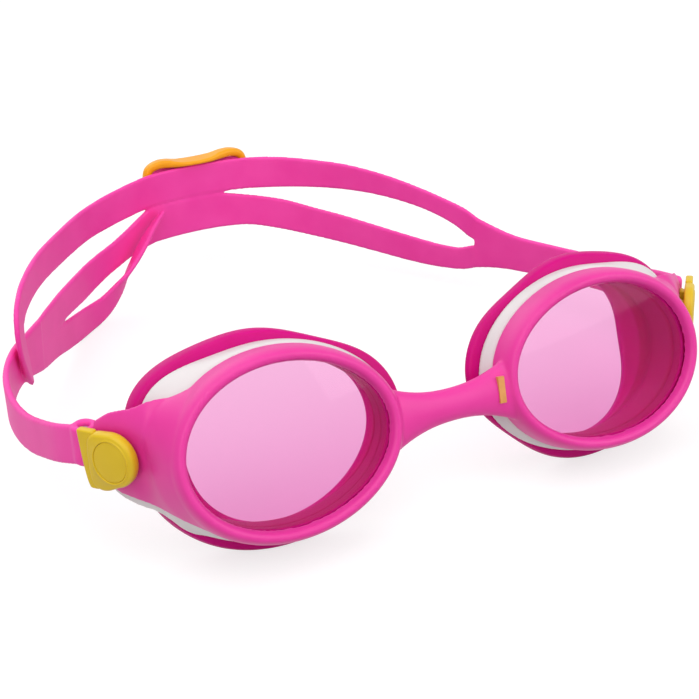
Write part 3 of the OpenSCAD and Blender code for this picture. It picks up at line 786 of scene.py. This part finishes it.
def heading(s):
    """The angle from +Y towards +X at length s: linear along each of the three arcs."""
    on_back = AIM_BACK - np.degrees((s - BACK_FROM) / BACK_R)
    before = np.interp(s, [0, SIDE_LEN, BACK_FROM], [AIM_CLIP, AIM_SIDE, AIM_BACK])
    return np.where(s < BACK_FROM, before, on_back)


def route(s, off, z):
    """The point at length s from the right clip, moved outwards by off, at height z.
    Past the middle of the back it is the mirrored point."""
    s = np.asarray(s, float)
    h = np.minimum(s, FULL_ROUTE - s)
    a = heading(h)
    side = ROUTE_START + arc_step(SIDE_R, AIM_CLIP, a)
    flank = FLANK_START + arc_step(FLANK_R, AIM_SIDE, a)
    back = BACK_START + arc_step(BACK_R, AIM_BACK, a)
    plan = np.select([(h < SIDE_LEN)[:, None], (h < BACK_FROM)[:, None]], [side, flank], back)
    x = np.where(s <= HALF_ROUTE, 1, -1) * (plan[:, 0] + off * np.cos(np.radians(a)))
    return np.stack([x, plan[:, 1] - off * np.sin(np.radians(a)), np.broadcast_to(z, s.shape)], -1)


def spans(q):
    """From the value before to the value after, at each value of a column."""
    return np.concatenate([[q[1] - q[0]], q[2:] - q[:-2], [q[-1] - q[-2]]])


def curve(table, s, k):
    """A smooth curve through column k: cubic pieces, slopes between the neighbours."""
    x, v = table[:, 0], table[:, k]
    slope = spans(v) / spans(x)
    i = np.clip(np.searchsorted(x, s, "right") - 1, 0, len(x) - 2)
    w = x[i + 1] - x[i]
    return cubic(v[i], v[i + 1], slope[i] * w, slope[i + 1] * w, (s - x[i]) / w)


print("half of the strap's route is", HALF_ROUTE, "mm; the back's radius is", BACK_R)

# %% Tables of the stretches
# Each row is a length along the route from its own clip, the height of the band's
# middle, the band's height, and how far inside the route it runs. The crossing branch
# has its twist in degrees as well. The hanging tail has the share of its turn as its
# last column.
PIN_S, PIN_H = 8.2, -3.0
PIN_Z = float(clip_place(PIN_H, PIN_S, 0.0)[2])
right_single = np.array([
    [1.6, PIN_Z, 7.6, 3.6], [10, -3, 8, 2], [24, -6.6, 8.2, 0.6], [45, -9.4, 8.4, -0.7],
    [56, -9.7, 8.6, 0], [62, -9.7, 9.3, 0], [67, -9.5, 11, 0], [72, -9.3, 13.4, 0]])
left_single = np.array([
    [1.6, PIN_Z, 7.6, 3.6], [8, -2.4, 7.6, 2.4], [16, -5, 7.7, 1.7], [24, -7.2, 8, 0.6],
    [32, -8.1, 8.4, -0.8], [40, -8, 8.8, -1.8], [48, -8.1, 9, -2], [56, -8.2, 9.2, -1.5],
    [64, -9.3, 9.8, -0.7], [72, -10.6, 11.4, 0]])
upper_right = np.array([
    [67, -7.1, 5.2, 0], [72, -5.5, 5.8, 0], [76, -3.4, 5.6, 0], [81, -1.7, 5.1, 0], [88, 0.1, 5.1, 0],
    [98, 1.9, 5.8, 0], [108, 2.9, 6.7, 0], [118, 3.4, 7.5, 0], [127, 3.9, 8.2, 0], [135, 4.2, 8.4, 0]])
tail_left = np.array([
    [58, 3.6, 6.4, 0.4], [64, 4.6, 6.6, 0.2], [77, 4.9, 7.1, 0], [94, 4, 7.6, 0], [110, 3.4, 8, 0],
    [122, 3.4, 8.3, 0], [135, 4.2, 8.4, 0]])
lower_right = np.array([
    [67, -11.9, 5, 0], [72, -13, 5.8, 0], [76, -14.3, 5.8, 0], [82, -14.7, 6.2, 0], [90, -14.3, 6.8, 0],
    [100, -13.1, 7.2, 0], [110, -11.6, 7.6, 0], [119, -9.8, 7.8, 0], [127, -7.7, 8.2, 0], [135, -6, 8.2, 0],
    [143.8, -4.9, 9.5, 0]])
lower_left = np.array([
    [58, -6, 4.4, -1.3], [64, -6.9, 5.2, -0.7], [72, -7.9, 6, 0], [80, -8.8, 6.8, 0], [92, -9.4, 7.2, 0],
    [107, -10, 7.8, 0], [120, -8.8, 7, 0], [127, -7.2, 7.4, 0], [135, -4.9, 9.5, 0]])
cross_left = np.array([
    [58, -10.4, 4.4, -1.3, 0], [64, -11.9, 4.8, -0.7, 0], [72, -13.7, 5.8, 0, 0], [84, -15.7, 6.8, 0, 0],
    [94, -17.8, 7.2, 0, 0], [104, -19.3, 7, 0.2, 0], [112, -19, 6.4, 1.4, 5], [118, -16, 5.8, 2.6, 20],
    [123, -11.8, 5.2, 3.4, 45], [128, -7.2, 4.6, 3.8, 60], [132, -3.8, 4, 3.6, 60],
    [136.5, -1.2, 3.2, 2.8, 50]])
tail_hang = np.array([
    [59, 3.8, 6.5, 0], [56.4, 2.6, 6.4, 0.3], [55.2, 0, 6.2, 0.65], [55.4, -3, 5.8, 0.95],
    [56.6, -6.5, 5, 1], [58.2, -10.4, 3.6, 1], [59.8, -14, 1, 1]])
print("the crossing branch reaches", cross_left[-1, 0], "mm along the route")

# %% [markdown]
# ## The strap
# The strap is a flat band with rounded edges. Each stretch is a rounded rectangle
# carried along its curve, standing upright. The end loops are a wall of about the same
# thickness, bent round the clip's pin. The stretches overlap at the forks, and the
# remesh joins them.

# %% Bands
REAR_WALL, SIDE_WALL, BAND_CORNER = 1.15, 1.4, 0.5
UPRIGHT = np.array([0, 0, 1.0])


def rounded_section(half_a, half_b, radius, each=5):
    """A rectangle with round corners: four quarter circles, one moved into each corner.
    half_a and half_b may be arrays, one section for each value."""
    q = np.radians(np.arange(4).repeat(each) * 90 + np.tile(np.linspace(0, 90, each), 4))
    side_a, side_b = np.array([[1, -1, -1, 1], [1, 1, -1, -1]]).repeat(each, 1)
    a, b = np.asarray(half_a, float)[..., None], np.asarray(half_b, float)[..., None]
    corner = np.minimum(radius, np.minimum(a, b) * 0.98)
    return side_a * (a - corner) + corner * np.cos(q), side_b * (b - corner) + corner * np.sin(q)


def band(points, ups, heights, thick):
    """Rounded rectangles of the given heights across a path, standing along ups."""
    ahead = np.gradient(points, axis=0)
    side = np.cross(ahead, ups)
    side /= np.linalg.norm(side, axis=-1, keepdims=True)
    up = np.cross(side, ahead)
    up /= np.linalg.norm(up, axis=-1, keepdims=True)
    a, b = rounded_section(thick / 2, heights / 2, BAND_CORNER)
    return tube(stood(points[:, None] + a[..., None] * side[:, None] + b[..., None] * up[:, None]))


print("walls of", REAR_WALL, "and", SIDE_WALL, "mm")

# %% Stretches of the strap
LEAN_OVER, TAIL_INSET, TAIL_LINE = 25, 0.4, (52, 60)
LOOP_R, LOOP_WALL, LOOP_HIGH, LOOP_POWER = 1.68, 1.44, 7.6, 2.8


def single_stretch(table):
    """From a clip to its fork; it leans with the pin at first and then stands upright."""
    s = np.linspace(table[0, 0], table[-1, 0], 120)
    w = eased(s / LEAN_OVER)[:, None]
    ups = (1 - w) * [0, np.sin(PITCH), np.cos(PITCH)] + w * UPRIGHT
    points = route(s, -curve(table, s, 3), curve(table, s, 1))
    return band(points, ups, curve(table, s, 2), SIDE_WALL)


def rear_band(right, left):
    """From the right fork, level behind the buckle, then along the left side's table."""
    a = np.linspace(right[0, 0], right[-1, 0], 110)
    b = np.arange(right[-1, 0] + 1, FULL_ROUTE - left[-1, 0], 1.0)
    c = np.linspace(left[-1, 0], left[0, 0], 120)
    points = np.concatenate([route(a, 0, curve(right, a, 1)), route(b, 0, right[-1, 1]),
                             route(FULL_ROUTE - c, -curve(left, c, 3), curve(left, c, 1))])
    heights = np.concatenate([curve(right, a, 2), np.full(len(b), right[-1, 2]), curve(left, c, 2)])
    return band(points, UPRIGHT, heights, REAR_WALL)


def crossing_band():
    """The left fork's lower branch, which twists as it crosses inside the lower band."""
    s = np.linspace(cross_left[0, 0], cross_left[-1, 0], 140)
    a, h = np.radians(curve(cross_left, s, 4)), np.radians(heading(s))
    points = route(FULL_ROUTE - s, -curve(cross_left, s, 3), curve(cross_left, s, 1))
    ups = np.stack([np.sin(a) * np.cos(h), np.sin(a) * np.sin(h), np.cos(a)], -1)
    return band(points, ups, curve(cross_left, s, 2), REAR_WALL)


def tail_end():
    """The upper band's free end, which turns down and hangs to a point: its sections stop
    standing upright and lie along the route, as it runs between the TAIL_LINE lengths."""
    rows = np.arange(len(tail_hang), dtype=float)
    table = np.column_stack([rows, tail_hang])
    u = np.linspace(0, len(rows) - 1, 60)
    s, z, high, turned = (curve(table, u, k) for k in range(1, 5))
    near, far = route(FULL_ROUTE - np.array(TAIL_LINE), 0, 0)
    along = (near - far) / np.linalg.norm(near - far)
    turned = np.clip(turned, 0, 1)[:, None]
    ups = (1 - turned) * UPRIGHT + turned * along
    return band(route(FULL_ROUTE - s, -TAIL_INSET, z), ups, high, REAR_WALL)


def end_loop():
    """The strap's wall bent into a squarish loop round the pin: a superellipse with a
    rounded wall carried round it."""
    t = np.radians(np.arange(0, 360, 5.0))[:, None]
    power = LOOP_POWER
    round_off = (np.abs(np.cos(t)) ** power + np.abs(np.sin(t)) ** power) ** (-1 / power)
    a, b = rounded_section(LOOP_WALL / 2, LOOP_HIGH / 2, BAND_CORNER)
    r = LOOP_R * round_off + a
    return ring(stood(clip_place(PIN_H + r * np.cos(t), PIN_S + r * np.sin(t), b)))


strap_shells = [single_stretch(right_single), mirrored(single_stretch(left_single)),
                rear_band(upper_right, tail_left), rear_band(lower_right, lower_left),
                crossing_band(), tail_end(), end_loop(), mirrored(end_loop())]
strap = moulded("head_strap_soft", strap_shells, cell=0.37, rounds=10)
finish_piece(strap, "strap", "strap_silicone", strap_silicone, "head_strap")

# %% [markdown]
# ## Clips and buttons
# Each yellow clip has a round head that is squared off towards its tail, with a button
# in the middle. Ball, head and bore are one stack of outlines: it comes up from the ball,
# swells out of the wing, rounds over at the top, drops into the button's well and ends
# in the spring's bore. The button is a plain turned shape.

# %% Outlines of the clip and the button
HEAD_LONG, HEAD_HIGH, HEAD_FULLER, TAIL_LONGER = 4.8, 5.3, 1.3, 0.1
OVAL_LONG, OVAL_HIGH, OVAL_FROM = 0.9, 1.08, 3


def head_outline(t):
    """An oval of HEAD_LONG by HEAD_HIGH towards the front, which becomes a superellipse
    of power 4 towards the tail: a little longer, with a fuller lower corner. The angle
    is measured from the tail."""
    c, s = np.cos(t), np.sin(t)
    power = 2 + 2 * eased(c * 1.6)
    length = np.where(c > 0, HEAD_LONG + TAIL_LONGER * eased(c * 2), HEAD_LONG)
    height = np.where(s < 0, HEAD_HIGH + HEAD_FULLER * eased(c * 1.6 + 0.35), HEAD_HIGH)
    return (np.abs(c / length) ** power + np.abs(s / height) ** power) ** (-1 / power)


def button_oval(t):
    """The button's outline for a radius of 1: an ellipse of OVAL_LONG by OVAL_HIGH."""
    return ((np.cos(t) / OVAL_LONG) ** 2 + (np.sin(t) / OVAL_HIGH) ** 2) ** -0.5


def turned_clip(levels):
    """Rows of (share of the head's outline, radius, height out of the face): each row is
    the head's outline times its share plus the radius, in millimetres. A radius over
    OVAL_FROM follows the button's oval, and a smaller one is a plain circle."""
    share, radius, out = np.array(levels, float).T[..., None]
    t = np.radians(np.arange(0, 360, 3.0))[None]
    r = share * head_outline(t) + radius * np.where(radius > OVAL_FROM, button_oval(t), 1)
    return tube(stood(clip_place(out, r * np.cos(t), r * np.sin(t))))


print("clip head", 2 * HEAD_HIGH, "mm high at the front")

# %% Clips and buttons in place
BALL_R, BALL_H, NECK_R = 2.6, -1.65, 2.2
PLATE_EDGE, PLATE_LONG, PLATE_FOOT, PLATE_OUT, PLATE_HALF = 0.35, 11.6, -6.3, 0.9, 0.75
PLATE_REACH, PLATE_BEND, PLATE_INNER, WELL_CLEAR = 1.9, 0.4, 3.2, 0.4
TONGUE_FROM, TONGUE_IN, TONGUE_ON, TONGUE_SLANT = 5.6, 4.6, 3.07, (2.6, 3.9)
TONGUE_THIN, TONGUE_GROWS, TONGUE_HALF, TONGUE_EDGE = 0.7, 0.6, 2.0, 0.4
HEAD_LEVELS = [
    [0, NECK_R, 0.1], [0.9, 0, 0.1], [0.97, 0, 0.18], [1, 0, 0.5], [1, 0, 1.2], [0.988, 0, 1.55],
    [0.96, 0, 1.83], [0.92, 0, 2.02], [0.87, 0, 2.1], [0, 4.14, 2.12], [0, 4.06, 2.2], [0, 3.94, 2.26],
    [0, 3.82, 2.24], [0, 3.74, 2.16], [0, 3.73, 2.0], [0, 3.73, 0.3]]
BORE_LEVELS = [[0, 1.75, 0.3], [0, 1.75, -1.9], [0, 0.05, -1.9]]
BUTTON_LEVELS = [
    [0, 0.05, -0.85], [0, 1.0, -0.85], [0, 1.1, -0.75], [0, 1.1, 1.25], [0, 3.6, 1.25], [0, 3.7, 1.35],
    [0, 3.7, 2.04], [0, 3.68, 2.1], [0, 3.62, 2.14], [0, 3.45, 2.16], [0, 3.05, 2.2], [0, 0.05, 2.3]]


def tail_plate():
    """The wedge behind the head: rounded sections from its foot, which melts into the
    head, up to its free top, each reaching further along the tail than the last. Its
    inner side keeps clear of the button's well."""
    turn = PLATE_EDGE / PLATE_LONG
    round_end = turn * np.linspace(0, 1, 5)
    k = np.concatenate([round_end, np.linspace(0.1, 0.9, 12), 1 - round_end[::-1]])
    near = np.clip(np.minimum(k, 1 - k) / turn, 0, 1)
    pull = PLATE_EDGE * (1 - np.sqrt(1 - (1 - near) ** 2))
    reach = HEAD_LONG + PLATE_REACH * k ** PLATE_BEND
    inner = PLATE_INNER + WELL_CLEAR * np.sin(np.pi * k)
    a, b = rounded_section(PLATE_HALF - pull, (reach - inner) / 2 - pull, PLATE_EDGE)
    up = (PLATE_FOOT + PLATE_LONG * k)[:, None]
    return tube(stood(clip_place(PLATE_OUT + a, (reach + inner)[:, None] / 2 + b, up)))


def tongue():
    """The tongue that slants from the tail plate into the strap's loop and grows thicker
    towards its end."""
    k = np.linspace(0, 1, 12)[:, None]
    a, b = rounded_section(TONGUE_THIN + TONGUE_GROWS * k[:, 0], TONGUE_HALF, TONGUE_EDGE)
    slant_out, slant_on = np.array(TONGUE_SLANT) / np.hypot(*TONGUE_SLANT)
    out = PLATE_OUT - TONGUE_IN * k + a * slant_out
    return tube(stood(clip_place(out, TONGUE_FROM + TONGUE_ON * k + a * slant_on, b)))


def side_clip():
    """Ball, head and bore in one turned shell, with the tail plate and the tongue."""
    h = np.linspace(-2.5, -0.3, 14)
    ball = np.column_stack([0 * h, np.maximum(np.sqrt(BALL_R ** 2 - (h - BALL_H) ** 2), NECK_R), h])
    levels = np.concatenate([[[0, 0.05, h[0]]], ball, HEAD_LEVELS, BORE_LEVELS])
    return [turned_clip(levels), tail_plate(), tongue()]


for side, turn in SIDES:
    clip = put("side_clip_moulded_" + side, [turn(part) for part in side_clip()])
    finish_piece(clip, "strap", "yellow_plastic", yellow_plastic, "side_clip_" + side)
    button = put("push_button_moulded_" + side, [turn(turned_clip(BUTTON_LEVELS))])
    finish_piece(button, "button_" + side, "yellow_plastic", yellow_plastic, "push_button_" + side)

# %% [markdown]
# ## The rear buckle
# The buckle is a smooth amber bar that follows the back of the strap. It has a waist in
# the middle, which reaches over the strap's edge, and a rounded, slotted hump at each
# end. The bars are carried along curves, and one remesh melts them into one moulding.
# The strap's second layer shows in the slots, and goes wherever the buckle goes.

# %% Buckle bar
BOW_CORNER = 0.85


def buckle_place(along, out, up):
    """Length along the back's arc, distance from its centre, height."""
    a = along / BACK_R
    return stood(np.stack(np.broadcast_arrays(-out * np.sin(a), BACK_Y + out * np.cos(a), up), -1))


# Each row is its own number, a place along the arc, a height, a half thickness, a half
# depth and a distance from the arc's centre. The second half mirrors the first.
bar_table = np.array([
    [0, -12.85, 0.9, 0.8, 1.15, 49.9], [1, -12.9, 4, 0.8, 1.15, 49.9], [2, -12.75, 7, 0.9, 1.15, 49.9],
    [3, -11.9, 8.9, 1, 1.2, 49.85], [4, -9.6, 9.8, 1, 1.5, 49.5], [5, -7, 9.7, 0.95, 1.9, 49.1],
    [6, -4, 9.35, 0.6, 2.4, 48.6], [7, 0, 9.25, 0.5, 2.6, 48.4]])
bar_table = np.concatenate([bar_table, bar_table[-2::-1] * [1, -1, 1, 1, 1, 1]])
bar_table[:, 0] = np.arange(len(bar_table))


def bowed_bar():
    """The bar up one end, over both humps and the waist, and down the other end: rounded
    sections across a curve through the table's rows."""
    k = np.linspace(0, len(bar_table) - 1, 160)
    along, up, half, deep, out = (curve(bar_table, k, c) for c in range(1, 6))
    ahead = np.stack([np.gradient(along), np.gradient(up)], -1)
    ahead /= np.linalg.norm(ahead, axis=1, keepdims=True)
    a, b = rounded_section(half, deep, BOW_CORNER, each=8)
    along, up = along[:, None] - a * ahead[:, 1:], up[:, None] + a * ahead[:, :1]
    return tube(buckle_place(along, out[:, None] + b, up))


print("buckle bar through", len(bar_table), "rows")

# %% The rest of the buckle
BUCKLE_OUT, BUCKLE_HALF, BUCKLE_CORNER, SLOT_END = 49.85, 1.12, 0.6, 12.2
WAIST_HALF, WAIST_FOOT, WAIST_TOP = 5.2, -9.9, 9.2
BAR_FROM, BAR_UP, BAR_HALF = 4, 0.85, 0.72
FOLD_FROM, FOLD_UP, FOLD_HALF, FOLD_OUT, FOLD_WALL, FOLD_CORNER = 4.6, 4.9, 3.45, 49.9, 1.2, 0.4


def lower_bar(side):
    """The bar under one slot."""
    along = np.linspace(BAR_FROM, SLOT_END, 20)[:, None]
    a, b = rounded_section(BAR_HALF, BUCKLE_HALF, BUCKLE_CORNER)
    return tube(buckle_place(side * along, BUCKLE_OUT + b, BAR_UP + a))


def waist_plate():
    """The plate behind both bands, with rounded edges."""
    up = np.linspace(WAIST_FOOT, WAIST_TOP, 40)[:, None]
    a, b = rounded_section(WAIST_HALF, BUCKLE_HALF, BUCKLE_CORNER)
    return tube(buckle_place(a, BUCKLE_OUT + b, up))


def strap_in_slot(side):
    """The strap's layer that shows in one slot."""
    along = np.linspace(FOLD_FROM, SLOT_END, 24)[:, None]
    a, b = rounded_section(FOLD_WALL / 2, FOLD_HALF, FOLD_CORNER)
    return tube(buckle_place(side * along, FOLD_OUT + a, FOLD_UP + b))


buckle_shells = [bowed_bar(), waist_plate(), lower_bar(-1), lower_bar(1)]
buckle = moulded("rear_buckle_moulded", buckle_shells, cell=0.25, rounds=12, ease=0.08)
finish_piece(buckle, "buckle", "amber_plastic", amber_plastic, "rear_buckle")
fold = put("strap_fold_in_buckle", [strap_in_slot(-1), strap_in_slot(1)])
finish_piece(fold, "buckle", "strap_silicone", strap_silicone)

# %% [markdown]
# ## Small parts that keep their CAD shape
# The sockets, pins, springs and the inlay are exact in CAD already, so they only get
# their finished materials.

# %% CAD nodes with materials
cad_finishes = {"bridge_tab": gold_inlay}
for side, turn in SIDES:
    cad_finishes["clip_socket_" + side] = white_plastic
    cad_finishes["button_spring_" + side] = spring_steel
    cad_finishes["strap_pin_" + side] = spring_steel
for name, material in cad_finishes.items():
    coat(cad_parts[name], material)
print("CAD nodes given materials:", len(cad_finishes))

# %% [markdown]
# ## Floor and light
# The goggles stand on white paper under a broad soft light. The paper takes the
# object's shadow as a plain diffuse surface. Seen directly, or in a shine or through a
# lens, it glows a little, so that it reads as the white background of the photograph.

# %% Floor
PAPER_LIT, PAPER_SEEN, PAPER_GLOW, FLOOR_HALF = 0.5, 0.36, 0.7, 3


def glow_switch(tree):
    """1 for camera, glossy and transmission rays, 0 for the rays that light things."""
    path = node(tree, "ShaderNodeLightPath", (-900, 0))
    either = node(tree, "ShaderNodeMath", (-600, 0))
    any_of = node(tree, "ShaderNodeMath", (-400, 0))
    either.operation = any_of.operation = "MAXIMUM"
    wire(tree,
         (path.outputs["Is Camera Ray"], either.inputs[0]),
         (path.outputs["Is Glossy Ray"], either.inputs[1]),
         (either.outputs[0], any_of.inputs[0]),
         (path.outputs["Is Transmission Ray"], any_of.inputs[1]))
    return any_of.outputs[0]


paper = bpy.data.materials.new("white_paper")
paper.use_nodes = True
tree = paper.node_tree
tree.nodes.clear()
surface = node(tree, "ShaderNodeOutputMaterial", (400, 0))
matt = node(tree, "ShaderNodeBsdfDiffuse", (-100, 150))
glow = node(tree, "ShaderNodeEmission", (-100, -50), Color=(1, 1, 1, 1))
scaled = node(tree, "ShaderNodeMapRange", (-250, -50), To_Min=0.0, To_Max=PAPER_GLOW)
dimmed = node(tree, "ShaderNodeMapRange", (-250, 150), To_Min=PAPER_LIT, To_Max=PAPER_SEEN)
both = node(tree, "ShaderNodeAddShader", (150, 0))
seen = glow_switch(tree)
wire(tree,
     (seen, scaled.inputs["Value"]),
     (seen, dimmed.inputs["Value"]),
     (dimmed.outputs["Result"], matt.inputs["Color"]),
     (scaled.outputs["Result"], glow.inputs["Strength"]),
     (matt.outputs[0], both.inputs[0]),
     (glow.outputs[0], both.inputs[1]),
     (both.outputs[0], surface.inputs["Surface"]))
floor_mesh = bpy.data.meshes.new("floor")
floor_corners = [(FLOOR_HALF * x, FLOOR_HALF * y, 0) for x, y in ((-1, -1), (1, -1), (1, 1), (-1, 1))]
floor_mesh.from_pydata(floor_corners, [], [(0, 1, 2, 3)])
floor_mesh.materials.append(paper)
floor = linked("floor", floor_mesh)
print("floor", 2 * FLOOR_HALF, "m wide")

# %% World and lamps
WORLD_LIGHT, WORLD_SEEN = 0.42, 1.0
LAMPS_LOOK_AT = [0, -0.02, 0.02]
world = bpy.data.worlds.new("studio")
scene.world = world
world.use_nodes = True
tree = world.node_tree
sky = tree.nodes["Background"]
strength = node(tree, "ShaderNodeMapRange", (-200, 0), To_Min=WORLD_LIGHT, To_Max=WORLD_SEEN)
wire(tree,
     (glow_switch(tree), strength.inputs["Value"]),
     (strength.outputs["Result"], sky.inputs["Strength"]))
give(sky, Color=(1, 1, 1, 1))


def soft_lamp(name, place, size, watts):
    """A square lamp of the given size that looks at the middle of the goggles."""
    data = bpy.data.lights.new(name, "AREA")
    data.size, data.energy = size, watts
    back = np.array(place) - LAMPS_LOOK_AT
    back = back / np.linalg.norm(back)
    right = np.cross([0, 0, 1.0], back)
    right /= np.linalg.norm(right)
    linked(name, data).matrix_world = placed(np.stack([right, np.cross(back, right), back], -1), place)


soft_lamp("key", (-0.2, -0.3, 0.85), 0.8, 3.6)
soft_lamp("back_light", (-0.25, 0.6, 0.6), 0.8, 2.6)
soft_lamp("fill_left", (-0.5, -0.6, 0.4), 0.6, 1.6)
soft_lamp("fill_right", (0.5, -0.6, 0.45), 0.6, 2.5)
print("lamps:", len(bpy.data.lights))
